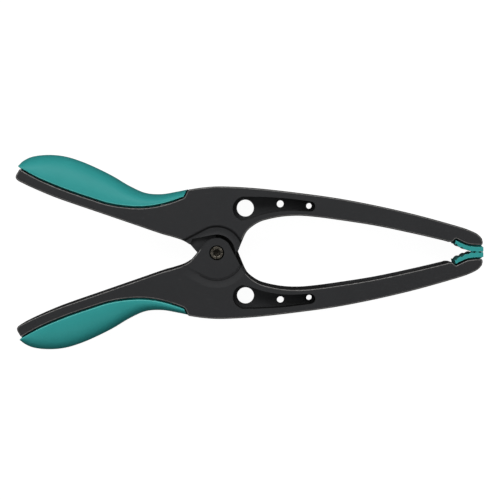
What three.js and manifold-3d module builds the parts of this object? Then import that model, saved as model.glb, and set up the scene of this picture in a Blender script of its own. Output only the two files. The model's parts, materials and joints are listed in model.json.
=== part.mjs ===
// Long-jaw spring clamp: two identical levers, turned to face each other, hinged on a tubular rivet and
// held shut by a torsion spring. Millimetres. The clamp lies flat: X runs from the handles to the jaw tips,
// Y across the clamp and Z through its thickness. Every lever shape below is drawn for the upper lever
// (y > 0) with the pivot at x = 0, y = 0; the lower lever is the same moulding turned half a turn about X.
import * as THREE from 'three';
import { mergeVertices } from 'three/addons/utils/BufferGeometryUtils.js';
import Module from 'manifold-3d';

const wasm = await Module();
wasm.setup();

// Driving dimensions
const THICKNESS = 22;
const MID = THICKNESS / 2;
const GAP = 0.3;                     // clearance between neighbouring pieces
const SLIVER = 0.01;                 // details smaller than this, left where cuts meet, are removed
const HANDLE_END = -94.6;            // furthest point of the handles, from the pivot
const JAW_END = 126;                 // jaw tips, from the pivot
const CENTRE_X = (HANDLE_END + JAW_END) / 2;

// Thickness stack at the pivot, for the upper lever: outer cheek, cavity, inner cheek, recess
const OUTER_CHEEK_TOP = 3.5;
const INNER_CHEEK_BOTTOM = 15;
const INNER_CHEEK_TOP = 18.2;
const DISC_RECESS_BOTTOM = 20.9;

const LUG_RADIUS = 7;                // outer cheek
const LUG_CORNER = 9.27;             // where the outer cheek's straight flank starts, from the pivot
const CHEEK_RADIUS = 8.4;            // inner cheek
const RECESS_RADIUS = 8.7;           // room for the other lever's outer cheek
const DISC_RADIUS = 12.4;            // edge of the flat disc round the pivot
const CAVITY_RADIUS = 13.3;          // room for the other lever's inner cheek and for the spring
const DISC_GROOVE = { width: 1.1, depth: 0.8 };
const MOAT = { inner: 7.1, floor: 15.6, from: -8, to: 95 };   // gap in the floor of the recess

const RIVET = { shank: 2.1, collar: 3.15, mouth: 2.1, hollow: 1.5, hollowDepth: 7, collarHeight: 1.3 };
const BORE_RADIUS = RIVET.shank + GAP;
const COUNTERBORE = { radius: 3.55, depth: 2 };
const SLEEVE_RADIUS = 4;

const WIRE_RADIUS = 1;
const COIL_RADIUS = 5.4;
const COIL_PITCH = 2.2;
const COIL_TURNS = 2;                // whole turns, besides the arc between the two legs
const LEG_ANGLE = THREE.MathUtils.degToRad(16.5);
const LEG_LENGTH = 50;

const JAW_TAPER = { start: 50, drop: 3.6 };   // each face slopes in by drop between start and the tip
const POCKET_WEB = 5;
const HOLES = [
  { x: 13.5, y: 20.9, radius: 4.05 },
  { x: 30.2, y: 22.9, radius: 1.68 },
  { x: 43.9, y: 21.9, radius: 1.38 },
];
const JAW_CHANNEL_WALL = 2.6;
const HANDLE_CHANNEL_WALL = 3.3;

const PAD = { inset: 0.3, ribs: 5, ribHeight: 0.7, stepsPerRib: 6 };

// Grip: half its thickness at the outer edge, and the lever's tongue inside it. The tongue's reach outwards
// and its ends are shares of the grip's width and length; its root lies sunk in the lever.
const GRIP = { edgeHalf: 3.2, thinnest: 0.4 };
const TONGUE = { reach: 0.5, half: 5.5, start: 0.12, end: 0.8, sunk: 1.2, shareOfGap: 1 / 90 };

// Points and curves
const vector = ([x, y]) => new THREE.Vector2(x, y);
const smooth = (points, steps) => new THREE.SplineCurve(points.map(vector)).getSpacedPoints(steps);
const shapeOf = (points) => new THREE.Shape(points);

function arc(x, y, radius, from, to, steps) {
  const [start, end] = [from, to].map(THREE.MathUtils.degToRad);
  return new THREE.EllipseCurve(x, y, radius, radius, start, end, to < from).getPoints(steps);
}

const JAW_OUTER = [
  [125.6, 6.3], [123.7, 8.4], [119.9, 10.3], [113.7, 12.4], [94.6, 17.7], [75.6, 22.1], [56.7, 25.7],
  [37.8, 28.3], [18.9, 30.4], [3, 31.3], [-6, 30.9], [-13.5, 29.8],
];
const GRIP_SEAM = [
  [-15.9, 25.8], [-20.9, 24], [-27, 22.3], [-34.2, 21.3], [-42, 21.5], [-51, 22.9], [-60, 25.7],
  [-72.1, 29.9], [-84.1, 35], [-92.6, 39.8],
];
const GRIP_OUTER = [
  [-14, 29.9], [-18.9, 28.9], [-26.5, 27.7], [-34.3, 28.3], [-42, 31.7], [-49.7, 36.3], [-57.4, 40.2],
  [-65.1, 43.5], [-72.8, 45.8], [-80.5, 46.5], [-87.6, 45.7], [-91.9, 43.7], [-93.6, 41.6],
];
const HANDLE_INNER = [
  [-93.3, 34], [-87.8, 31.3], [-79.3, 27.6], [-71.7, 24.7], [-56.6, 19.5], [-41.5, 14.3], [-26.4, 9.1],
  [-21.5, 7.7], [-16.3, 6], [-12.6, 3.85],
];
const JAW_INNER = [
  [9.8, 0], [11.2, 3.6], [13.4, 8.7], [15.3, 11.2], [18.9, 13.8], [22.7, 15.35], [30.2, 16.9],
  [37.8, 17.4], [45.3, 16.95], [56.6, 15.5], [75.5, 12.5], [94.4, 8.5], [108.4, 5.2],
];
const PAD_SEAT = [[113.2, 6.4], [115.6, 5.1], [118.7, 3.8], [122, 3.3], [125.7, 3.2]];
const PAD_FACE = [[112.8, 3.9], [116.2, 2.15], [119.4, 0.85], [122, 0.42], [126, 0.4]];

// Solids
function solid(geometry) {
  geometry.deleteAttribute('normal');
  geometry.deleteAttribute('uv');
  const merged = mergeVertices(geometry, 1e-4);
  return new wasm.Manifold(new wasm.Mesh({
    numProp: 3,
    vertProperties: Float32Array.from(merged.attributes.position.array),
    triVerts: Uint32Array.from(merged.index.array),
  }));
}

function geometryOf(body) {
  const { vertProperties, triVerts } = body.getMesh();
  const geometry = new THREE.BufferGeometry();
  geometry.setAttribute('position', new THREE.BufferAttribute(vertProperties, 3));
  geometry.setIndex(new THREE.BufferAttribute(triVerts, 1));
  geometry.computeVertexNormals();
  return geometry;
}

function prism(points, low, high) {
  const geometry = new THREE.ExtrudeGeometry(shapeOf(points), { depth: high - low, bevelEnabled: false });
  return geometry.translate(0, 0, low);
}

const prismSolid = (points, low, high) => solid(prism(points, low, high));

function cylinderSolid(x, y, radius, low, high, segments = 32) {
  const geometry = new THREE.CylinderGeometry(radius, radius, high - low, segments);
  return solid(geometry.rotateX(Math.PI / 2).translate(x, y, (low + high) / 2));
}

// Half the lever's thickness at x, with the faces of the jaw sloping in towards the tip
function halfThickness(x) {
  const along = (x - JAW_TAPER.start) / (JAW_END - JAW_TAPER.start);
  return MID - JAW_TAPER.drop * Math.max(0, along);
}

// Lever outline, the same through the whole thickness before the pivot cuts
function leverOutline() {
  return [
    vector([125.7, 3.2]),
    vector([JAW_END, 4.6]),
    ...smooth(JAW_OUTER, 26),
    vector([-15.3, 26.1]),
    ...smooth(GRIP_SEAM, 22),
    ...smooth([[-94.35, 36.9], [HANDLE_END, 35.7], [-94.1, 34.7]], 4),
    ...smooth(HANDLE_INNER, 14),
    vector([-LUG_CORNER, 0]),
    ...arc(0, 0, CHEEK_RADIUS, 180, 330, 16),
    ...smooth(JAW_INNER, 30),
    vector([109.6, 4.8]),
    vector([111.7, 4.8]),
    ...smooth(PAD_SEAT, 8).slice(0, -1),
  ];
}

// Outline of a pocket round the three holes
function pocketOutline() {
  return [
    ...arc(13.25, 20.8, 5.7, 96, 258, 12),
    ...smooth([[16.4, 16.3], [23.6, 18.5], [33.3, 19.8], [43.2, 19.4]], 8),
    ...arc(44.1, 21.8, 2.4, -88, 84, 10),
    ...smooth([[43.8, 24.3], [31.2, 25.8], [20, 26.4]], 5),
  ];
}

// What is cut from the outside of the outer cheek, to leave a lug with straight flanks
function lugSurround() {
  const flank = Math.acos(LUG_RADIUS / LUG_CORNER) * THREE.MathUtils.RAD2DEG;
  return [
    vector([-LUG_CORNER, 0]),
    ...arc(0, 0, LUG_RADIUS, 180 + flank, 333, 14),
    vector([10.35, 4.6]),
    vector([12, 7.9]),
    vector([14.8, 11.3]),
    vector([20, 5]),
    vector([20, -12]),
    vector([-14, -12]),
  ];
}

// The recess that the other lever's lug swings in, with a straight side ending in a point
function lugRecess() {
  return [
    ...arc(0, 0, RECESS_RADIUS, 4, 101, 12),
    vector([-11.6, 6.6]),
    vector([-13, 3.4]),
    vector([-20, -12]),
    vector([12, -12]),
    vector([12, 0.6]),
  ];
}

// The gap in the recess's floor, along its rounded side
function moat() {
  const { inner, from, to } = MOAT;
  return [...arc(0, 0, RECESS_RADIUS, from, to, 12), ...arc(0, 0, inner, to, from, 12)];
}

// The shallow recess round it, which runs off towards the handle
function discRecess() {
  return [
    ...arc(0, 0, DISC_RADIUS, 25, 118, 14),
    vector([-15.6, 6.9]),
    vector([-16.5, 3]),
    vector([-20, -12]),
    vector([16, -12]),
  ];
}

// Groove round the disc on the outer cheek
function discGroove() {
  const { width, depth } = DISC_GROOVE;
  const profile = [
    [DISC_RADIUS, -depth], [DISC_RADIUS + 2 * width, -depth], [DISC_RADIUS + width / 2, depth],
    [DISC_RADIUS, depth], [DISC_RADIUS, -depth],
  ].map(vector);
  return solid(new THREE.LatheGeometry(profile, 48).rotateX(Math.PI / 2));
}

// A wedge that slopes one face of the jaw
function taperWedge(side) {
  const { start, drop } = JAW_TAPER;
  const edge = MID + side * MID;
  const far = JAW_END + 10;
  const fall = drop * (far - start) / (JAW_END - start);
  const profile = [vector([start, edge]), vector([far, edge - side * fall]), vector([far, edge + side])];
  profile.push(vector([start, edge + side]));
  return solid(prism(profile, 0, 60).rotateX(Math.PI / 2).translate(0, 45, 0));
}

// Hollow of the jaw, open towards the other jaw, which narrows as the jaw gets thinner
function jawChannel() {
  const outline = [
    ...smooth([[52, 22.8], [75.5, 18.6], [94.4, 14.2], [108, 10.2]], 10),
    vector([108, 0]),
    vector([52, 8]),
  ];
  const geometry = prism(outline, -1, 1);
  const position = geometry.attributes.position;
  for (let i = 0; i < position.count; i += 1) {
    const half = halfThickness(position.getX(i)) - JAW_CHANNEL_WALL;
    position.setZ(i, MID + position.getZ(i) * half);
  }
  return solid(geometry);
}

// Hollow of the handle, open towards the other handle; the spring's leg lies on its floor
function handleChannels() {
  const floor = [[-50, 22], [-70, 28.3], [-84, 34.2], [-88.5, 36]].map(vector);
  const open = [[-88.5, 24], [-50, 6], [-16, -4], [-17, 13]].map(vector);
  const nearPivot = [[-2, 8.6], [-30, 16.2], [-30, 2], [-8, -3]].map(vector);
  return [
    prismSolid([...floor, ...open], HANDLE_CHANNEL_WALL, THICKNESS - HANDLE_CHANNEL_WALL),
    prismSolid(nearPivot, OUTER_CHEEK_TOP, INNER_CHEEK_BOTTOM),
  ];
}

// Handle grip: a block bent along the seam, as thick as the lever there and rounded off outwards.
// along runs from the pivot end to the far end, out from the seam to the outer edge.
const seamCurve = new THREE.SplineCurve(GRIP_SEAM.map(vector));
const outerCurve = new THREE.SplineCurve(GRIP_OUTER.map(vector));

function gripBlock(steps, range, out, half) {
  const geometry = new THREE.BoxGeometry(1, 1, 1, ...steps);
  const position = geometry.attributes.position;
  for (let i = 0; i < position.count; i += 1) {
    const along = THREE.MathUtils.lerp(...range, 0.5 - position.getX(i));
    const share = position.getY(i) + 0.5;
    const seam = seamCurve.getPointAt(along);
    const reach = outerCurve.getPointAt(along).sub(seam);
    const distance = out(share, reach.length());
    const place = seam.add(reach.setLength(distance));
    position.setXYZ(i, place.x, place.y, MID + 2 * position.getZ(i) * half(share));
  }
  return solid(geometry);
}

// The lever's tongue inside the grip, or with extra > 0 the room that the grip leaves for it
function tongue(extra) {
  const { reach, half, start, end, sunk, shareOfGap } = TONGUE;
  const range = [start - extra * shareOfGap, end + extra * shareOfGap];
  const out = (share, width) => (share < 0.5 ? -sunk : reach * width + extra);
  return gripBlock([12, 1, 1], range, out, () => half + extra);
}

function gripBody() {
  const out = (share, width) => GAP + share * Math.max(GRIP.thinnest, width - GAP);
  const half = (share) => GRIP.edgeHalf + (MID - GRIP.edgeHalf) * Math.sqrt(1 - share * share);
  return gripBlock([26, 7, 1], [0, 1], out, half).subtract(tongue(GAP));
}

function leverBody() {
  const above = THICKNESS + 1;
  const cuts = [
    cylinderSolid(0, 0, CAVITY_RADIUS, OUTER_CHEEK_TOP, INNER_CHEEK_BOTTOM, 48),
    prismSolid(lugSurround(), -1, OUTER_CHEEK_TOP),
    prismSolid(lugRecess(), INNER_CHEEK_TOP, above),
    prismSolid(moat(), MOAT.floor, above),
    prismSolid(discRecess(), DISC_RECESS_BOTTOM, above),
    discGroove(),
    prismSolid(pocketOutline(), -1, MID - POCKET_WEB / 2),
    prismSolid(pocketOutline(), MID + POCKET_WEB / 2, above),
    ...HOLES.map(({ x, y, radius }) => cylinderSolid(x, y, radius, -1, above, 24)),
    cylinderSolid(0, 0, BORE_RADIUS, -1, above, 24),
    cylinderSolid(0, 0, COUNTERBORE.radius, -1, COUNTERBORE.depth, 24),
    taperWedge(1),
    taperWedge(-1),
    jawChannel(),
    ...handleChannels(),
  ];
  return cuts.reduce((body, cut) => body.subtract(cut), prismSolid(leverOutline(), 0, THICKNESS))
    .add(tongue(0))
    .simplify(SLIVER);
}

// Ribbed pad on the inside of the jaw tip
function padOutline() {
  const face = new THREE.SplineCurve(PAD_FACE.map(vector));
  const steps = PAD.ribs * PAD.stepsPerRib;
  const ribbed = face.getSpacedPoints(steps).map((point, i) => {
    const wave = Math.abs(Math.sin(Math.PI * PAD.ribs * i / steps));
    return new THREE.Vector2(point.x, point.y - PAD.ribHeight * (wave - 0.5));
  });
  const seat = smooth(PAD_SEAT, 8).map((point) => new THREE.Vector2(point.x, point.y - GAP)).reverse();
  return [...ribbed.map((p) => new THREE.Vector2(p.x, Math.max(p.y, GAP / 2))), ...seat];
}

function padGeometry() {
  const half = halfThickness(JAW_END) - PAD.inset;
  return prism(padOutline(), MID - half, MID + half);
}

// Torsion spring: a close coil with one straight leg into each handle
function springGeometry() {
  const rise = COIL_PITCH * (COIL_TURNS + (Math.PI - 2 * LEG_ANGLE) / (2 * Math.PI));
  const sweep = 2 * Math.PI * COIL_TURNS + Math.PI - 2 * LEG_ANGLE;
  const low = MID - rise / 2;
  const coilStep = 2 * Math.PI / 16;
  const coilCount = Math.round(sweep / coilStep);
  const points = [];
  for (let i = 0; i <= coilCount; i += 1) {
    const angle = -Math.PI / 2 + LEG_ANGLE + sweep * i / coilCount;
    const height = low + rise * i / coilCount;
    points.push(new THREE.Vector3(COIL_RADIUS * Math.cos(angle), COIL_RADIUS * Math.sin(angle), height));
  }
  const leg = (start, side) => [0.25, 0.5, 0.75, 1].map((share) => new THREE.Vector3(
    start.x - share * LEG_LENGTH * Math.cos(LEG_ANGLE),
    start.y + side * share * LEG_LENGTH * Math.sin(LEG_ANGLE),
    start.z,
  ));
  const first = leg(points[0], -1).reverse();
  const last = leg(points[points.length - 1], 1);
  const path = new THREE.CatmullRomCurve3([...first, ...points, ...last], false, 'centripetal');
  const section = shapeOf(arc(0, 0, WIRE_RADIUS, 0, 360, 8).slice(0, -1));
  return new THREE.ExtrudeGeometry(section, { steps: 96, extrudePath: path, bevelEnabled: false });
}

function latheGeometry(profile, segments) {
  return new THREE.LatheGeometry(profile.map(vector), segments).rotateX(Math.PI / 2);
}

// Tubular rivet: flat head at the back, hollow end rolled over at the front
function rivetGeometry() {
  const { shank, collar, mouth, hollow, hollowDepth, collarHeight } = RIVET;
  const low = COUNTERBORE.depth - GAP - collarHeight;
  const high = THICKNESS - low;
  return latheGeometry([
    [0, low], [collar - 0.5, low], [collar, low + 0.5], [collar, low + collarHeight],
    [shank, low + collarHeight], [shank, high - collarHeight], [collar, high - collarHeight],
    [collar, high - 0.5], [collar - 0.5, high], [mouth + 0.2, high], [mouth, high - 0.3],
    [hollow, high - 1.2], [hollow, high - hollowDepth], [0, high - hollowDepth],
  ], 24);
}

// Spacer sleeve between the inner cheeks, which the coil sits round
function sleeveGeometry() {
  const low = THICKNESS - INNER_CHEEK_BOTTOM + GAP;
  const high = INNER_CHEEK_BOTTOM - GAP;
  return latheGeometry([
    [BORE_RADIUS, low], [SLEEVE_RADIUS, low], [SLEEVE_RADIUS, high], [BORE_RADIUS, high],
    [BORE_RADIUS, low],
  ], 24);
}

// Materials
function material(color, roughness, metalness) {
  return new THREE.MeshStandardMaterial({ color, roughness, metalness });
}

const blackPlastic = material('#2b2c2e', 0.55, 0);
const tealRubber = material('#2a8c84', 0.6, 0);
const springSteel = material('#6f7072', 0.35, 1);
const rivetSteel = material('#7b766c', 0.4, 1);

function named(name, geometry, look) {
  const mesh = new THREE.Mesh(geometry, look);
  mesh.name = name;
  return mesh;
}

const leverShape = geometryOf(leverBody());
const gripShape = geometryOf(gripBody());
const padShape = padGeometry();

function leverGroup(side) {
  const group = new THREE.Group();
  group.add(named(`${side}_lever`, leverShape, blackPlastic));
  group.add(named(`${side}_grip`, gripShape, tealRubber));
  group.add(named(`${side}_jaw_pad`, padShape, tealRubber));
  return group;
}

const clamp = new THREE.Group();
clamp.position.x = -CENTRE_X;
const upper = leverGroup('upper');
const lower = leverGroup('lower');
lower.rotation.x = Math.PI;
lower.position.z = THICKNESS;
clamp.add(upper, lower);
clamp.add(named('torsion_spring', springGeometry(), springSteel));
clamp.add(named('spring_sleeve', sleeveGeometry(), rivetSteel));
clamp.add(named('pivot_rivet', rivetGeometry(), rivetSteel));

export default clamp;
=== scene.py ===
import json
import math

import bmesh
import bpy
import numpy as np
from mathutils import Matrix, Vector


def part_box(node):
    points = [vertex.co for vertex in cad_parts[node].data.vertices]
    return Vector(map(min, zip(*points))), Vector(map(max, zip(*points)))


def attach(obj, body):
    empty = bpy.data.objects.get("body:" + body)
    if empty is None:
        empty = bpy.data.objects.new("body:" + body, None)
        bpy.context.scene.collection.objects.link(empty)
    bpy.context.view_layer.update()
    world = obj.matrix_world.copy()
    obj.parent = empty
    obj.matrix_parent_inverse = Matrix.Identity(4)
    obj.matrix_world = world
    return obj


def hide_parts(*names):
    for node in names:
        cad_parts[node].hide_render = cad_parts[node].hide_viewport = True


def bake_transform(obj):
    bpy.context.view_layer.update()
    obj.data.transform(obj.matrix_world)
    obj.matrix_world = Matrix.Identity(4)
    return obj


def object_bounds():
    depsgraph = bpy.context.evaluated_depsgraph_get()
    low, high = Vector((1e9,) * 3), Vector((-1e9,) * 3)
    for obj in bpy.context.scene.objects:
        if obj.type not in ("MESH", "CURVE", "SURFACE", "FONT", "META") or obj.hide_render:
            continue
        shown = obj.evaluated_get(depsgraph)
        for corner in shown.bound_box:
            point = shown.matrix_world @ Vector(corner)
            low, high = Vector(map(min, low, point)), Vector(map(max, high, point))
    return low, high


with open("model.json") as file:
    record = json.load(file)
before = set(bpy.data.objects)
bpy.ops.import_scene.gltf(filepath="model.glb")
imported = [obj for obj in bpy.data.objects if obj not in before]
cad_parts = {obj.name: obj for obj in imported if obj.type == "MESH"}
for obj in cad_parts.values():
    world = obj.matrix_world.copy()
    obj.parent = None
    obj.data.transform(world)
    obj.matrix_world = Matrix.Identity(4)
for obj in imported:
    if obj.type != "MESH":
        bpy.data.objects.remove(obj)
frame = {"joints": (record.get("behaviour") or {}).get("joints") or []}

CAD_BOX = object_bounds()

# Shapes are drawn in millimetres for the upper lever, with the pivot at x = 0, y = 0 and the thickness
# from z = 0 to THICK. The lower lever is the same moulding turned half a turn about X.
MM = 0.001
PIVOT = Vector(frame["joints"][0]["pos_m"])
THICK = round((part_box("lower_lever")[1].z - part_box("lower_lever")[0].z) / MM, 2)
MID = THICK / 2
LOWER, UPPER = "lower_half", "upper_half"
TO_UPPER = Matrix.Translation((PIVOT.x, PIVOT.y, 0)) @ Matrix.Scale(MM, 4)
HALF_TURN = Matrix.Rotation(math.pi, 4, "X")
TO_LOWER = Matrix.Translation((PIVOT.x, PIVOT.y, THICK * MM)) @ HALF_TURN @ Matrix.Scale(MM, 4)

# Levers
STEP = 1.0                # spacing of the points along a curved outline
OUTER_CHEEK_TOP = 3.5
INNER_CHEEK_BOTTOM = 15.0
INNER_CHEEK_TOP = 18.2
DISC_CENTRE = 22.9        # the floor of the shallow recess rises towards the pivot, as if to this height
# Sections of the recess wall and of the groove: (distance outside the disc's edge, height)
DISC_WALL = [(1.1, 24), (1.1, 22.05), (0.7, 21.9), (0.3, 21.6), (0, 21.3), (-0.3, 21), (-0.7, 20.75),
             (-1.3, 20.65)]
DISC_GROOVE = [(-0.6, 0.5), (-0.6, 0.03), (-0.2, -0.1), (0.15, -0.32), (0.5, -0.5), (0.9, -0.55),
               (1.6, -0.48), (2.7, -0.27), (3.9, -0.07), (4.7, 0.05), (4.7, 0.5)]
LUG_RADIUS = 7.0
LUG_CORNER = 9.27         # where the lug's straight flank starts, from the pivot
CHEEK_RADIUS = 8.4
CHEEK_START = 188.5       # direction in which the inner cheek's rounded side starts
RECESS_RADIUS = 8.7
DISC_RADIUS = 12.4
CAVITY_RADIUS = 13.3
BORE_RADIUS = 2.4
COUNTERBORE_RADIUS = 3.55
COUNTERBORE_DEPTH = 2.0
JAW_END = 126.1
TAPER_START = 50.5
TAPER_BEND = 3.0          # the slope starts gradually over this much on each side of that
TAPER_DROP = 3.6
POCKET_WEB = 5.0
MOAT_INNER = 7.1
MOAT_FLOOR = 15.6
MOAT_FROM, MOAT_TO = -8, 95
# Holes in the pocket: (x, y, radius)
HOLES = [(13.5, 20.9, 4.05), (30.2, 22.9, 1.68), (43.9, 21.9, 1.38)]
JAW_WALL = 2.6
HANDLE_WALL = 3.3
OUTER_FILLET = 1.0        # radius of the rounded outer edges
INNER_FILLET = 0.42       # radius of the edges of recesses, holes and channels

# Outlines: points along each edge, through which a smooth curve runs
JAW_TIP = [(125.8, 3.2), (126.1, 4.6)]
JAW_OUTER = [
    (125.7, 6.3), (123.7, 8.4), (119.9, 10.3), (113.7, 12.4), (94.6, 17.7), (75.6, 22.1), (56.7, 25.7),
    (37.8, 28.3), (18.9, 30.4), (3, 31.3), (-6, 30.9), (-13.5, 29.8),
]
GRIP_SHOULDER = [(-15.3, 26.1)]
GRIP_SEAM = [
    (-15.9, 25.8), (-20.9, 24), (-27, 22.3), (-34.2, 21.3), (-42, 21.5), (-51, 22.9), (-60, 25.7),
    (-72.1, 29.9), (-84.1, 35), (-92.6, 39.8),
]
GRIP_OUTER = [
    (-14, 29.9), (-18.9, 28.9), (-26.5, 27.7), (-34.3, 28.3), (-42, 31.7), (-49.7, 36.3), (-57.4, 40.2),
    (-65.1, 43.5), (-72.8, 45.8), (-80.5, 46.5), (-87.6, 45.7), (-91.9, 43.7), (-93.6, 41.6),
]
HANDLE_END = [(-94.35, 36.9), (-94.6, 35.7), (-94.1, 34.7)]
HANDLE_INNER = [
    (-93.3, 34), (-87.8, 31.3), (-79.3, 27.6), (-71.7, 24.7), (-56.6, 19.5), (-41.5, 14.3), (-26.4, 9.1),
    (-21.5, 7.7), (-16.3, 6), (-12.6, 3.85),
]
JAW_INNER = [
    (9.8, 0), (11.2, 3.6), (13.4, 8.7), (15.3, 11.2), (18.9, 13.8), (22.7, 15.35), (30.2, 16.9),
    (37.8, 17.4), (45.3, 16.95), (56.6, 15.5), (75.5, 12.5), (94.4, 8.5), (108.4, 5.2),
]
PAD_STEP = [(109.6, 4.8), (111.7, 4.8)]
PAD_SEAT = [(113.2, 6.4), (115.6, 5.1), (118.7, 3.8), (122, 3.3), (125.8, 3.2)]
PAD_FACE = [(112.8, 3.9), (116.2, 2.15), (119.4, 0.8), (122, 0.3), (126.2, 0.25)]


# --- curves -----------------------------------------------------------------------------------------------

def curve_points(points, per_span=24):
    """A smooth curve through the points."""
    p = np.array(points, float)
    share = np.linspace(0, 1, per_span, endpoint=False)[:, None]
    spans = []
    for i in range(len(p) - 1):
        before, after = p[max(i - 1, 0)], p[min(i + 2, len(p) - 1)]
        start, end = (p[i + 1] - before) / 2, (after - p[i]) / 2
        cubic = 2 * p[i] - 2 * p[i + 1] + start + end
        square = -3 * p[i] + 3 * p[i + 1] - 2 * start - end
        spans.append(cubic * share**3 + square * share**2 + start * share + p[i])
    return np.vstack([*spans, p[-1:]])


def evenly(points, count):
    """The same line with count points spaced evenly along it."""
    p = np.array(points, float)
    along = np.concatenate([[0], np.cumsum(np.linalg.norm(np.diff(p, axis=0), axis=1))])
    places = np.linspace(0, along[-1], count)
    return np.column_stack([np.interp(places, along, p[:, k]) for k in range(p.shape[1])])


def length_of(points):
    return np.linalg.norm(np.diff(np.array(points, float), axis=0), axis=1).sum()


def smooth(points, step=STEP):
    fine = curve_points(points)
    return evenly(fine, max(3, round(length_of(fine) / step) + 1))


def arc(x, y, radius, start, end, step=STEP, count=None):
    count = count or max(3, math.ceil(abs(math.radians(end - start)) * radius / step) + 1)
    angles = np.radians(np.linspace(start, end, count))
    return np.column_stack([x + radius * np.cos(angles), y + radius * np.sin(angles)])


def joined(*parts):
    return np.vstack([np.array(part, float).reshape(-1, 2) for part in parts])


# --- meshes -----------------------------------------------------------------------------------------------

def new_object(name, bm):
    """An object with two empty material slots, so that a rounded edge can be marked with the second."""
    bmesh.ops.recalc_face_normals(bm, faces=bm.faces)
    mesh = bpy.data.meshes.new(name)
    bm.to_mesh(mesh)
    bm.free()
    mesh.materials.append(None)
    mesh.materials.append(None)
    obj = bpy.data.objects.new(name, mesh)
    bpy.context.scene.collection.objects.link(obj)
    return obj


def ring_stack(name, rings):
    """Quads between rings of equally many points, capped at both ends."""
    bm = bmesh.new()
    rows = [[bm.verts.new(point) for point in ring] for ring in rings]
    for low, high in zip(rows, rows[1:]):
        for i in range(len(low)):
            j = (i + 1) % len(low)
            bm.faces.new((low[i], low[j], high[j], high[i]))
    bm.faces.new(rows[0][::-1])
    bm.faces.new(rows[-1])
    return new_object(name, bm)


def prism(name, outline, low, high):
    return ring_stack(name, [[(x, y, z) for x, y in outline] for z in (low, high)])


def lathe(name, profile, x=0.0, y=0.0, steps=96):
    """Turns a profile of (radius, z) that starts and ends on the axis, or closes on itself."""
    closed = tuple(profile[0]) == tuple(profile[-1])
    points = profile[:-1] if closed else profile
    bm = bmesh.new()
    rows = []
    for radius, z in points:
        count = steps if radius > 1e-9 else 1
        angles = [2 * math.pi * i / steps for i in range(count)]
        rows.append([bm.verts.new((x + radius * math.cos(a), y + radius * math.sin(a), z)) for a in angles])
    for low, high in list(zip(rows, rows[1:])) + ([(rows[-1], rows[0])] if closed else []):
        for i in range(steps):
            j = (i + 1) % steps
            corners = [low[i % len(low)], low[j % len(low)], high[j % len(high)], high[i % len(high)]]
            bm.faces.new(list(dict.fromkeys(corners)))
    return new_object(name, bm)


def cylinder(name, x, y, radius, low, high, steps=64):
    return lathe(name, [(0, low), (radius, low), (radius, high), (0, high)], x, y, steps)


def apply_modifiers(obj):
    graph = bpy.context.evaluated_depsgraph_get()
    mesh = bpy.data.meshes.new_from_object(obj.evaluated_get(graph))
    old = obj.data
    obj.modifiers.clear()
    obj.data = mesh
    bpy.data.meshes.remove(old)


def cut(obj, cutters):
    for cutter in cutters:
        step = obj.modifiers.new("cut", "BOOLEAN")
        step.operation = "DIFFERENCE"
        step.solver = "EXACT"
        step.object = cutter
        apply_modifiers(obj)
        bpy.data.meshes.remove(cutter.data)


EDGE = 1                  # material index that marks the faces of a rounded edge until the mesh is shaded


def fillet(obj, width, segments, angle):
    step = obj.modifiers.new("fillet", "BEVEL")
    step.width = width
    step.segments = segments
    step.limit_method = "ANGLE"
    step.angle_limit = math.radians(angle)
    step.miter_outer = "MITER_ARC"
    step.material = EDGE
    step.use_clamp_overlap = True
    apply_modifiers(obj)


def flat_areas(bm):
    """The area of the flat region that each face belongs to."""
    level = math.radians(0.5)
    areas = {}
    for first in bm.faces:
        if first in areas:
            continue
        region, queue = {first}, [first]
        while queue:
            for edge in queue.pop().edges:
                if len(edge.link_faces) == 2 and edge.calc_face_angle(math.pi) < level:
                    for face in edge.link_faces:
                        if face not in region:
                            region.add(face)
                            queue.append(face)
        total = sum(face.calc_area() for face in region)
        areas.update(dict.fromkeys(region, total))
    return areas


FLATTISH = 0.78           # a face that faces up or down less than this is a side


def shade(obj, angle=40, dark_sides=False, inside=lambda centre: False):
    """Smooth shading up to the angle, in which the larger flat region sets the normal at an edge.

    Also marks, for the materials, the part of the rounded edges that faces up or down, which gets a painted
    highlight, and the steep sides and the insides, which get painted shade.
    """
    mesh = obj.data
    mesh.shade_smooth()
    mesh.set_sharp_from_angle(angle=math.radians(angle))
    bm = bmesh.new()
    bm.from_mesh(mesh)
    areas = flat_areas(bm)
    level = [abs(face.normal.z) > FLATTISH for face in bm.faces]
    # painted highlight: the up- or down-facing faces of the rounded edges, to be painted lighter
    edge_highlight = [flat and face.material_index == EDGE for flat, face in zip(level, bm.faces)]
    # painted shade: the steep faces, to be painted darker where dark_sides is set
    side = [dark_sides and not flat for flat in level]
    # painted shade: the faces that inside() picks, to be painted near black
    hidden = [inside(face.calc_center_median()) for face in bm.faces]
    for name, mask in (("edge_highlight", edge_highlight), ("side", side), ("inside", hidden)):
        mesh.attributes.new(name, "FLOAT", "FACE").data.foreach_set("value", np.array(mask, "f"))
    mesh.polygons.foreach_set("material_index", [0] * len(mesh.polygons))
    normals = [None] * len(mesh.loops)
    for vertex in bm.verts:
        waiting = {loop.face: loop for loop in vertex.link_loops}
        while waiting:
            order, queue = [], [next(iter(waiting))]
            fan = {queue[0]: waiting.pop(queue[0])}
            while queue:
                face = queue.pop()
                order.append(face)
                for edge in face.edges:
                    if vertex in edge.verts and edge.smooth:
                        for other in edge.link_faces:
                            if other in waiting:
                                fan[other] = waiting.pop(other)
                                queue.append(other)
            total = Vector()
            for face in order:
                total += face.normal * areas[face] * fan[face].calc_angle()
            for loop in fan.values():
                normals[loop.index] = total.normalized()
    bm.free()
    mesh.normals_split_custom_set(normals)


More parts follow.
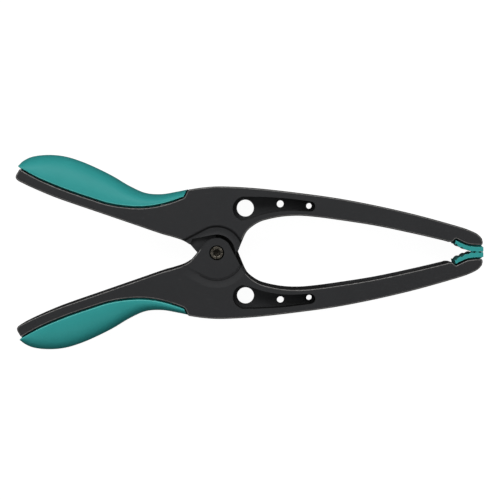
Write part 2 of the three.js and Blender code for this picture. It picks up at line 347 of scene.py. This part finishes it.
def tidy_mesh(obj, distance=0.004):
    bm = bmesh.new()
    bm.from_mesh(obj.data)
    bmesh.ops.remove_doubles(bm, verts=bm.verts, dist=distance)
    bmesh.ops.dissolve_degenerate(bm, dist=distance, edges=bm.edges)
    bm.to_mesh(obj.data)
    bm.free()


def copy_of(obj, name):
    made = obj.copy()
    made.data = obj.data.copy()
    made.name = made.data.name = name
    bpy.context.scene.collection.objects.link(made)
    return made


def place(obj, matrix):
    obj.data.transform(matrix)
    obj.data.update()
    return obj


# --- levers -----------------------------------------------------------------------------------------------

def half_thickness(x):
    """Half the lever's thickness at x: the faces of the jaw slope in towards the tip, from a soft bend."""
    bend = TAPER_BEND
    past = x - TAPER_START
    ramp = 0.0 if past < -bend else past if past > bend else (past + bend) ** 2 / (4 * bend)
    return MID - TAPER_DROP * ramp / (JAW_END - TAPER_START)


def lever_outline():
    return joined(
        JAW_TIP, smooth(JAW_OUTER), GRIP_SHOULDER, smooth(GRIP_SEAM),
        smooth(HANDLE_END, 0.5), smooth(HANDLE_INNER),
        [(-LUG_CORNER, 0)], arc(0, 0, CHEEK_RADIUS, CHEEK_START, 330), smooth(JAW_INNER),
        PAD_STEP, smooth(PAD_SEAT)[:-1],
    )


def pocket_outline():
    return joined(
        arc(13.25, 20.8, 5.7, 96, 258, 0.5), smooth([(16.4, 16.3), (23.6, 18.5), (33.3, 19.8), (43.2, 19.4)]),
        arc(44.1, 21.8, 2.4, -88, 84, 0.4), smooth([(43.8, 24.3), (31.2, 25.8), (20, 26.4)]),
    )


def disc_edge(offset=0.0):
    """Edge of the disc round the pivot, which runs off straight towards the handle."""
    start, end = 8, 118
    run = 11.7
    line = arc(0, 0, DISC_RADIUS + offset, start, end, count=40)
    ahead = np.array([-math.sin(math.radians(end)), math.cos(math.radians(end))])
    return joined(line, line[-1] + np.linspace(0, run, 12)[1:, None] * ahead)


def lug_surround():
    flank = math.degrees(math.acos(LUG_RADIUS / LUG_CORNER))
    return joined(
        [(-LUG_CORNER, 0)], arc(0, 0, LUG_RADIUS, 180 + flank, 333, 0.5),
        [(10.35, 4.6), (12, 7.9), (14.8, 11.3), (20, 5), (20, -12), (-14, -12)],
    )


def lug_recess():
    return joined(
        arc(0, 0, RECESS_RADIUS, 4, 101, 0.5), [(-11.6, 6.6), (-13, 3.4), (-20, -12), (12, -12), (12, 0.6)],
    )


def disc_recess():
    """Cutter of the shallow recess: softly curved sides, and a floor that rises towards the pivot."""
    far = [(-20, -12), (16, -12)]
    bm = bmesh.new()
    rings = [[bm.verts.new((x, y, z)) for x, y in joined(disc_edge(out), far)] for out, z in DISC_WALL]
    centre = bm.verts.new((0, 0, DISC_CENTRE))
    bm.faces.new(rings[0])
    for i in range(len(rings[0])):
        j = (i + 1) % len(rings[0])
        for high, low in zip(rings, rings[1:]):
            bm.faces.new((high[j], high[i], low[i], low[j]))
        bm.faces.new((rings[-1][j], rings[-1][i], centre))
    return new_object("disc_recess", bm)


def disc_groove():
    """Cutter of the soft groove round the disc on the outer cheek, which fades out towards the handle."""
    path = disc_edge()
    inner = disc_edge(-1)
    fade = 9
    rings = []
    for i, (p, q) in enumerate(zip(path, inner)):
        depth = min(1.0, (len(path) - 1 - i) / fade)
        rings.append([(*(p + (p - q) * out), -z * (depth if z < 0 else 1)) for out, z in DISC_GROOVE])
    return ring_stack("disc_groove", rings)


def recess_moat():
    """Cutter of the gap in the floor of the recess, along its rounded side."""
    outer = arc(0, 0, RECESS_RADIUS, MOAT_FROM, MOAT_TO, 0.5)
    inner = arc(0, 0, MOAT_INNER, MOAT_TO, MOAT_FROM, 0.5)
    return prism("moat", joined(outer, inner), MOAT_FLOOR, INNER_CHEEK_TOP + 0.5)


def jaw_channel():
    line = joined(smooth([(52, 22.8), (75.5, 18.6), (94.4, 14.2), (108, 10.2)]), [(108, 0), (52, 8)])
    rings = []
    for side in (-1, 1):
        rings.append([(x, y, MID + side * (half_thickness(x) - JAW_WALL)) for x, y in line])
    return ring_stack("jaw_channel", rings)


def handle_channels():
    floor = smooth([(-50, 22), (-70, 28.3), (-84, 34.2), (-88.5, 36)])
    wide = joined(floor, [(-88.5, 24), (-50, 6), (-16, -4), (-17, 13)])
    near_pivot = [(-2, 8.6), (-30, 16.2), (-30, 2), (-8, -3)]
    return [
        prism("wide_channel", wide, HANDLE_WALL, THICK - HANDLE_WALL),
        prism("near_channel", near_pivot, OUTER_CHEEK_TOP, INNER_CHEEK_BOTTOM),
    ]


def tapered_body():
    body = prism("lever", lever_outline(), 0, THICK)
    bm = bmesh.new()
    bm.from_mesh(body.data)
    for x in np.linspace(TAPER_START - TAPER_BEND, TAPER_START + TAPER_BEND, 7):
        geometry = bm.verts[:] + bm.edges[:] + bm.faces[:]
        bmesh.ops.bisect_plane(bm, geom=geometry, plane_co=(x, 0, 0), plane_no=(1, 0, 0))
    for vertex in bm.verts:
        side = 1 if vertex.co.z > MID else -1
        vertex.co.z = MID + side * half_thickness(vertex.co.x)
    bm.to_mesh(body.data)
    bm.free()
    return body


def lever_mesh():
    above = THICK + 1
    body = tapered_body()
    fillet(body, OUTER_FILLET, 5, 30)
    cut(body, [
        cylinder("cavity", 0, 0, CAVITY_RADIUS, OUTER_CHEEK_TOP, INNER_CHEEK_BOTTOM, 128),
        prism("surround", lug_surround(), -1, OUTER_CHEEK_TOP),
        prism("recess", lug_recess(), INNER_CHEEK_TOP, above),
        recess_moat(),
        disc_recess(),
        disc_groove(),
        prism("front_pocket", pocket_outline(), MID + POCKET_WEB / 2, above),
        prism("back_pocket", pocket_outline(), -1, MID - POCKET_WEB / 2),
        *[cylinder("hole", x, y, radius, -1, above) for x, y, radius in HOLES],
        cylinder("bore", 0, 0, BORE_RADIUS, -1, above),
        cylinder("counterbore", 0, 0, COUNTERBORE_RADIUS, -1, COUNTERBORE_DEPTH),
        jaw_channel(),
        *handle_channels(),
    ])
    tidy_mesh(body)
    fillet(body, INNER_FILLET, 3, 40)

    # the faces inside the hinge, which the plastic paints near black as shade
    def in_hinge(centre):
        return math.hypot(centre.x, centre.y) < CAVITY_RADIUS and 0.5 < centre.z < INNER_CHEEK_TOP - 0.4

    shade(body, dark_sides=True, inside=in_hinge)
    return body


# --- grips and pads ---------------------------------------------------------------------------------------

GROOVE = 0.75             # width of the groove between a lever and its grip or pad
GROOVE_DEPTH = 3.0
TOUCH = 0.04              # clearance below the groove
RIM_FACETS = (3, 4, 5)    # facets of the grip's section on the rounded edge along the groove


def grip_mesh():
    """D-shaped section along the seam: full thickness at the seam, rounded off to the outer edge."""
    stations = 120
    seam = evenly(curve_points(GRIP_SEAM), stations)
    outer = evenly(curve_points(GRIP_OUTER), stations)
    rim = 0.5
    edge = [(TOUCH, MID - GROOVE_DEPTH - 0.3), (GROOVE, MID - GROOVE_DEPTH), (GROOVE, MID - rim)]
    for turn in np.radians([22, 45, 67, 90]):
        edge.append((GROOVE + rim * (1 - math.cos(turn)), MID - rim * (1 - math.sin(turn))))
    rings = []
    for start, end in zip(seam, outer):
        reach = np.linalg.norm(end - start)
        direction = (end - start) / reach
        first = edge[-1][0]
        depth = max(reach - first, 0.3)
        section = list(edge)
        for angle in np.linspace(5, 90, 18):
            out = first + depth * math.sin(math.radians(angle)) ** 0.95
            section.append((out, MID * math.cos(math.radians(angle)) ** 0.75))
        whole = section + [(out, -z) for out, z in section[-2::-1]]
        rings.append([(*(start + direction * out), MID + z) for out, z in whole])
    grip = ring_stack("grip", rings)
    # the facets of the rim along the groove are marked for the rubber's painted highlight
    for face in list(grip.data.polygons)[:-2]:
        facet = face.index % len(rings[0])
        if min(facet, len(rings[0]) - 2 - facet) in RIM_FACETS:
            face.material_index = EDGE
    tidy_mesh(grip, 0.002)
    fillet(grip, 0.3, 3, 60)
    shade(grip, 50)
    return grip


def pad_mesh():
    """Ribbed pad: ribs at an even pitch, with the last one at the tip of the jaw."""
    pitch, height, last_rib = 2.85, 0.75, 126.35
    points = evenly(curve_points(PAD_FACE), 100)
    wave = np.abs(np.cos(math.pi * (points[:, 0] - last_rib) / pitch)) ** 0.8
    height = height * (1 - 0.45 * np.clip((points[:, 0] - 115) / 6, 0, 1))
    points[:, 1] = np.maximum(points[:, 1] - height * (wave - 0.5), TOUCH)
    seat = smooth(PAD_SEAT, 0.7)[::-1]
    half = half_thickness(JAW_END) - 0.3
    tip = [(126.35, 0.8), (126.35, 2.4)]
    levels = [(half, GROOVE), (half - GROOVE_DEPTH, GROOVE), (half - GROOVE_DEPTH - 0.2, TOUCH)]
    levels = [(-z, gap) for z, gap in levels] + levels[::-1]
    outlines = [(joined(points, tip, seat - (0, gap)), MID + z) for z, gap in levels]
    pad = ring_stack("pad", [[(x, y, z) for x, y in outline] for outline, z in outlines])
    fillet(pad, 0.25, 3, 38)
    # dark_sides: the pad's steep sides get painted shade
    shade(pad, 45, dark_sides=True)
    return pad


# --- pivot ------------------------------------------------------------------------------------------------

WIRE_RADIUS = 1.0
COIL_RADIUS = 5.4
COIL_PITCH = 2.2
COIL_TURNS = 2
LEG_ANGLE = math.radians(16.5)
LEG_LENGTH = 50.0


def spring_path():
    sweep = 2 * math.pi * COIL_TURNS + math.pi - 2 * LEG_ANGLE
    rise = COIL_PITCH * sweep / (2 * math.pi)
    share = np.linspace(0, 1, 160)
    angle = -math.pi / 2 + LEG_ANGLE + sweep * share
    height = MID + rise * (share - 0.5)
    coil = np.column_stack([COIL_RADIUS * np.cos(angle), COIL_RADIUS * np.sin(angle), height])
    along = np.linspace(0, LEG_LENGTH, 40)[1:, None]
    lower_way = np.array([[-math.cos(LEG_ANGLE), -math.sin(LEG_ANGLE), 0]])
    upper_way = lower_way * (1, -1, 1)
    return np.vstack([(coil[:1] + along * lower_way)[::-1], coil, coil[-1:] + along * upper_way])


def tube(name, path, radius, sides=20):
    """A tube along the path, with rounded ends."""
    ahead = np.gradient(path, axis=0)
    ahead /= np.linalg.norm(ahead, axis=1)[:, None]
    up = np.array([0.0, 0.0, 1.0])
    rings = []
    ends = [(0.25, 0.97), (0.6, 0.75), (0.9, 0.35), (1.0, 0.12)]
    turns = np.linspace(0, 2 * math.pi, sides, endpoint=False)

    def ring(centre, way, size):
        side = np.cross(up, way)
        side /= np.linalg.norm(side)
        top = np.cross(way, side)
        return [tuple(centre + size * (math.cos(a) * side + math.sin(a) * top)) for a in turns]

    for out, size in ends[::-1]:
        rings.append(ring(path[0] - ahead[0] * out * radius * 0.5, ahead[0], radius * size))
    for centre, way in zip(path, ahead):
        rings.append(ring(centre, way, radius))
    for out, size in ends:
        rings.append(ring(path[-1] + ahead[-1] * out * radius * 0.5, ahead[-1], radius * size))
    return ring_stack(name, rings)


def rivet_mesh():
    """Tubular rivet: low domed head at the back, its hollow end rolled over in petals at the front."""
    shank, collar, height, hollow = 2.1, 3.15, 1.3, 1.45
    low = COUNTERBORE_DEPTH - 0.3 - height
    high = THICK - low
    profile = [(0, low), (1.6, low + 0.02), (2.5, low + 0.14), (2.95, low + 0.42), (collar, low + 0.8)]
    profile += [(collar, low + height - 0.1), (collar - 0.1, low + height), (shank, low + height)]
    profile += [(shank, high - height), (collar - 0.15, high - height), (collar, high - height + 0.15)]
    turns = np.radians(range(0, 91, 15))
    roll = [(collar + 0.42 * (math.cos(a) - 1), high - 0.75 + 0.75 * math.sin(a)) for a in turns]
    lip = [(2.15 - 0.7 * math.sin(a), high - 0.7 + 0.7 * math.cos(a)) for a in turns]
    profile += roll + lip + [(hollow, high - 1.6), (hollow, high - 4), (0, high - 4)]
    rivet = lathe("rivet", profile, steps=120)
    petals = 8
    for vertex in rivet.data.vertices:
        radius, angle = math.hypot(vertex.co.x, vertex.co.y), math.atan2(vertex.co.y, vertex.co.x)
        if vertex.co.z > high - height and radius > hollow - 0.05:
            dip = max(0.0, math.cos(petals * angle)) ** 5 * (0.7 + 0.5 * math.sin(3 * angle + 1))
            share = min(1.0, (radius - hollow) / 0.5) * min(1.0, (collar - radius) / 0.3 + 0.25)
            vertex.co.z -= 0.26 * dip * share
    shade(rivet, 50)
    return rivet


def sleeve_mesh():
    low, high, outer, chamfer = 7.3, 14.7, 4.0, 0.3
    sleeve = lathe("sleeve", [
        (BORE_RADIUS, low + chamfer), (BORE_RADIUS + chamfer, low), (outer - chamfer, low),
        (outer, low + chamfer), (outer, high - chamfer), (outer - chamfer, high),
        (BORE_RADIUS + chamfer, high), (BORE_RADIUS, high - chamfer), (BORE_RADIUS, low + chamfer),
    ])
    shade(sleeve, 30)
    return sleeve


# --- materials --------------------------------------------------------------------------------------------

class Nodes:
    """Short names for the few shader nodes used here, all in object coordinates, in millimetres."""

    def __init__(self, name):
        self.material = bpy.data.materials.new(name)
        self.material.use_nodes = True
        self.tree = self.material.node_tree
        self.shader = self.tree.nodes["Principled BSDF"]
        coordinates = self.add("ShaderNodeTexCoord")
        scale = self.add("ShaderNodeVectorMath", operation="SCALE")
        scale.inputs["Scale"].default_value = 1 / MM
        self.link(coordinates.outputs["Object"], scale.inputs[0])
        self.place = scale.outputs[0]

    def add(self, kind, **settings):
        node = self.tree.nodes.new(kind)
        for key, value in settings.items():
            setattr(node, key, value)
        return node

    def link(self, source, target):
        self.tree.links.new(source, target)

    def noise(self, scale, detail=2.0, roughness=0.5, stretch=None):
        node = self.add("ShaderNodeTexNoise")
        node.inputs["Scale"].default_value = scale
        node.inputs["Detail"].default_value = detail
        node.inputs["Roughness"].default_value = roughness
        place = self.place
        if stretch:
            mapping = self.add("ShaderNodeMapping")
            mapping.inputs["Scale"].default_value = stretch
            self.link(self.place, mapping.inputs["Vector"])
            place = mapping.outputs[0]
        self.link(place, node.inputs["Vector"])
        return node.outputs["Fac"]

    def range(self, value, low, high, to_low, to_high):
        node = self.add("ShaderNodeMapRange")
        for key, number in zip(("From Min", "From Max", "To Min", "To Max"), (low, high, to_low, to_high)):
            node.inputs[key].default_value = number
        self.link(value, node.inputs["Value"])
        return node.outputs["Result"]

    def math(self, operation, a, b):
        node = self.add("ShaderNodeMath", operation=operation)
        for socket, value in zip(node.inputs, (a, b)):
            if isinstance(value, (int, float)):
                socket.default_value = value
            else:
                self.link(value, socket)
        return node.outputs[0]

    def mix(self, factor, a, b):
        node = self.add("ShaderNodeMix", data_type="RGBA")
        self.link(factor, node.inputs["Factor"])
        for socket, value in ((node.inputs[6], a), (node.inputs[7], b)):
            if isinstance(value, tuple):
                socket.default_value = (*value, 1)
            else:
                self.link(value, socket)
        return node.outputs[2]

    def mask(self, name):
        return self.add("ShaderNodeAttribute", attribute_name=name).outputs["Fac"]

    def bump(self, height, strength, distance, after=None):
        node = self.add("ShaderNodeBump")
        node.inputs["Strength"].default_value = strength
        node.inputs["Distance"].default_value = distance
        self.link(height, node.inputs["Height"])
        if after:
            self.link(after, node.inputs["Normal"])
        return node.outputs["Normal"]

    def finish(self, color, roughness, normal, **constants):
        self.link(color, self.shader.inputs["Base Color"])
        self.link(roughness, self.shader.inputs["Roughness"])
        self.link(normal, self.shader.inputs["Normal"])
        for key, value in constants.items():
            self.shader.inputs[key.replace("_", " ")].default_value = value
        return self.material


def lever_plastic():
    """Black glass-filled nylon with a fine spark-eroded grain and scuffs, a painted highlight on rounded
    edges and painted shade on the sides and inside the hinge.
    """
    n = Nodes("lever_plastic")
    grain = n.noise(3.2, 3, 0.6)
    cloud = n.noise(0.07, 3)
    scuff = n.range(n.noise(0.9, 4, 0.6, (0.25, 1.6, 1)), 0.62, 0.78, 0, 1)
    # painted highlight on the rounded edges, varied by noise; it also lowers the roughness and raises the
    # specular level there
    edge_highlight = n.math("MULTIPLY", n.mask("edge_highlight"), n.range(n.noise(0.8, 3), 0.35, 0.65, 0.5, 1))
    base = n.mix(cloud, (0.0140, 0.0145, 0.0158), (0.0185, 0.019, 0.0203))
    speckled = n.mix(n.range(grain, 0.35, 0.7, 0, 0.35), base, (0.026, 0.0265, 0.028))
    # painted shade: steep side walls darker
    sides = n.mix(n.mask("side"), speckled, (0.0065, 0.0064, 0.0066))
    # painted shade: the faces inside the hinge near black
    insides = n.mix(n.mask("inside"), sides, (0.0025, 0.0025, 0.0026))
    # painted highlight: the rounded edges lighter
    highlighted = n.mix(n.math("MULTIPLY", edge_highlight, 0.85), insides, (0.125, 0.12, 0.115))
    color = n.mix(n.math("MULTIPLY", scuff, 0.18), highlighted, (0.075, 0.075, 0.078))
    rough = n.range(grain, 0.3, 0.7, 0.44, 0.6)
    rough = n.math("SUBTRACT", rough, n.math("MULTIPLY", edge_highlight, 0.15))
    normal = n.bump(grain, 0.35, 0.05 * MM, n.bump(cloud, 0.1, 0.4 * MM))
    n.link(n.range(edge_highlight, 0, 1, 0.2, 0.55), n.shader.inputs["Specular IOR Level"])
    return n.finish(color, rough, normal)


def soft_rubber():
    """Teal thermoplastic rubber: silky, very slightly mottled, with fine pores and a soft sheen; a painted
    highlight on the grip's rim along the groove and painted shade on the pad's sides.
    """
    n = Nodes("soft_rubber")
    pores = n.noise(4.5, 2, 0.55)
    cloud = n.noise(0.09, 3)
    dust = n.range(n.noise(1.3, 4, 0.65), 0.6, 0.8, 0, 1)
    base = n.mix(cloud, (0.021, 0.248, 0.238), (0.029, 0.284, 0.274))
    color = n.mix(n.math("MULTIPLY", dust, 0.25), base, (0.075, 0.36, 0.335))
    color = n.mix(n.range(pores, 0.2, 0.38, 0.3, 0), color, (0.015, 0.17, 0.16))
    # painted shade: the pad's steep sides dark teal
    color = n.mix(n.math("MULTIPLY", n.mask("side"), 0.75), color, (0.004, 0.045, 0.042))
    # painted highlight: the grip's rim along the groove lighter teal
    color = n.mix(n.math("MULTIPLY", n.mask("edge_highlight"), 0.6), color, (0.12, 0.5, 0.46))
    rough = n.range(pores, 0.3, 0.7, 0.42, 0.56)
    normal = n.bump(pores, 0.25, 0.04 * MM, n.bump(cloud, 0.15, 0.5 * MM))
    return n.finish(color, rough, normal, Specular_IOR_Level=0.15, Sheen_Weight=0.02, Sheen_Roughness=0.5)


def metal(name, light, dark, low, high, scratches):
    """Steel with a tarnished plating and fine scratches."""
    n = Nodes(name)
    stain = n.noise(0.7, 4, 0.6)
    fine = n.noise(6.0, 3, 0.6, scratches)
    color = n.mix(n.range(stain, 0.35, 0.65, 0, 1), light, dark)
    rough = n.math("ADD", n.range(stain, 0.3, 0.7, low, high), n.range(fine, 0.3, 0.7, 0, 0.12))
    return n.finish(color, rough, n.bump(fine, 0.3, 0.03 * MM), Metallic=1.0)


def floor_material():
    n = Nodes("pale_floor")
    tone = n.noise(0.01, 2)
    color = n.mix(tone, (0.1, 0.1, 0.1), (0.11, 0.11, 0.11))
    rough = n.range(tone, 0.3, 0.7, 0.75, 0.85)
    normal = n.bump(tone, 0.02, 0.1 * MM)
    return n.finish(
        color, rough, normal, Specular_IOR_Level=0.0, Emission_Color=(1, 1, 1, 1), Emission_Strength=0.97,
    )


# --- assembly ---------------------------------------------------------------------------------------------

def dress(obj, material, body, node):
    obj.data.materials.clear()
    obj.data.materials.append(material)
    if body:
        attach(obj, body)
    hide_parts(node)
    return obj


def build_levers(plastic, rubber):
    shapes = [
        ("lever", lever_mesh(), plastic, "lever_plastic"),
        ("grip", grip_mesh(), rubber, "soft_rubber"),
        ("jaw_pad", pad_mesh(), rubber, "soft_rubber"),
    ]
    for part, shape, material, slot in shapes:
        other = copy_of(shape, f"lower_{part}_moulding")
        shape.name = shape.data.name = f"upper_{part}_moulding"
        dress(place(shape, TO_UPPER), material, UPPER, f"upper_{part}")
        dress(place(other, TO_LOWER), material, LOWER, f"lower_{part}")


def build_pivot(rivet_steel, spring_steel):
    dress(place(rivet_mesh(), TO_UPPER), rivet_steel, LOWER, "pivot_rivet")
    dress(place(sleeve_mesh(), TO_UPPER), rivet_steel, LOWER, "spring_sleeve")
    path = spring_path()
    spring = tube("spring_wire", path, WIRE_RADIUS)
    shade(spring, 60)
    dress(place(spring, TO_UPPER), spring_steel, None, "torsion_spring")
    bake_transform(spring)


# --- stage ------------------------------------------------------------------------------------------------

FIELD = 0.236             # width of the view at the height of the front faces
AIM = Vector((PIVOT.x + 0.0157, PIVOT.y + 0.00129, CAD_BOX[1].z - 0.001))
CAMERA = Vector((AIM.x, AIM.y + 0.0306, AIM.z + 0.7))
ROLL = math.radians(0.11)


def build_camera():
    data = bpy.data.cameras.new("camera")
    camera = bpy.data.objects.new("camera", data)
    bpy.context.scene.collection.objects.link(camera)
    back = (CAMERA - AIM).normalized()
    level = Vector((math.sin(ROLL), math.cos(ROLL), 0))
    up = (level - back * back.dot(level)).normalized()
    right = up.cross(back)
    turn = Matrix((right, up, back)).transposed().to_4x4()
    camera.matrix_world = Matrix.Translation(CAMERA) @ turn
    data.sensor_width = 36
    data.lens = data.sensor_width * (CAMERA - AIM).length / FIELD
    data.clip_start, data.clip_end = 0.01, 20
    bpy.context.scene.camera = camera


def area_light(name, position, size, power):
    """A rectangular light that faces the middle of the object."""
    data = bpy.data.lights.new(name, "AREA")
    data.shape = "RECTANGLE"
    data.size, data.size_y = size
    data.energy = power
    light = bpy.data.objects.new(name, data)
    bpy.context.scene.collection.objects.link(light)
    light.location = position
    light.rotation_euler = (-Vector(position)).to_track_quat("-Z", "Y").to_euler()


def studio_world():
    """Dim overhead and almost black at the horizon and below."""
    world = bpy.data.worlds.new("world")
    world.use_nodes = True
    tree = world.node_tree
    coordinates = tree.nodes.new("ShaderNodeTexCoord")
    split = tree.nodes.new("ShaderNodeSeparateXYZ")
    tree.links.new(coordinates.outputs["Generated"], split.inputs[0])
    ramp = tree.nodes.new("ShaderNodeValToRGB")
    height = tree.nodes.new("ShaderNodeMapRange")
    height.inputs["From Min"].default_value = -1
    tree.links.new(split.outputs["Z"], height.inputs["Value"])
    tree.links.new(height.outputs[0], ramp.inputs[0])
    stops = [(0.0, 0.05), (0.5, 0.02), (0.75, 0.1), (1.0, 0.14)]
    while len(ramp.color_ramp.elements) < len(stops):
        ramp.color_ramp.elements.new(0.5)
    for element, (place, level) in zip(ramp.color_ramp.elements, stops):
        element.position = place
        element.color = (level, level, level, 1)
    tree.links.new(ramp.outputs["Color"], tree.nodes["Background"].inputs["Color"])
    return world


def build_stage():
    bm = bmesh.new()
    half = 3.0
    corners = [(-half, -half), (half, -half), (half, half), (-half, half)]
    bm.faces.new([bm.verts.new((x, y, CAD_BOX[0].z)) for x, y in corners])
    floor = new_object("floor", bm)
    floor.data.materials.clear()
    floor.data.materials.append(floor_material())
    floor.visible_diffuse = floor.visible_glossy = False
    area_light("key", (-0.1, 0.9, 1.15), (1.5, 0.6), 18.5)
    area_light("left", (-0.9, 0.2, 1.1), (0.7, 0.7), 3)
    area_light("right", (0.9, 0.1, 1.1), (0.7, 0.7), 3)
    area_light("fill", (0.1, -0.9, 1.15), (1.4, 0.5), 4)
    bpy.context.scene.world = studio_world()
    bpy.context.scene.view_settings.view_transform = "Standard"


build_camera()
build_stage()
build_levers(lever_plastic(), soft_rubber())
build_pivot(
    metal("rivet_steel", (0.13, 0.118, 0.097), (0.055, 0.05, 0.042), 0.3, 0.42, (1, 1, 1)),
    metal("spring_steel", (0.42, 0.42, 0.43), (0.27, 0.27, 0.28), 0.22, 0.34, (1, 1, 4)),
)
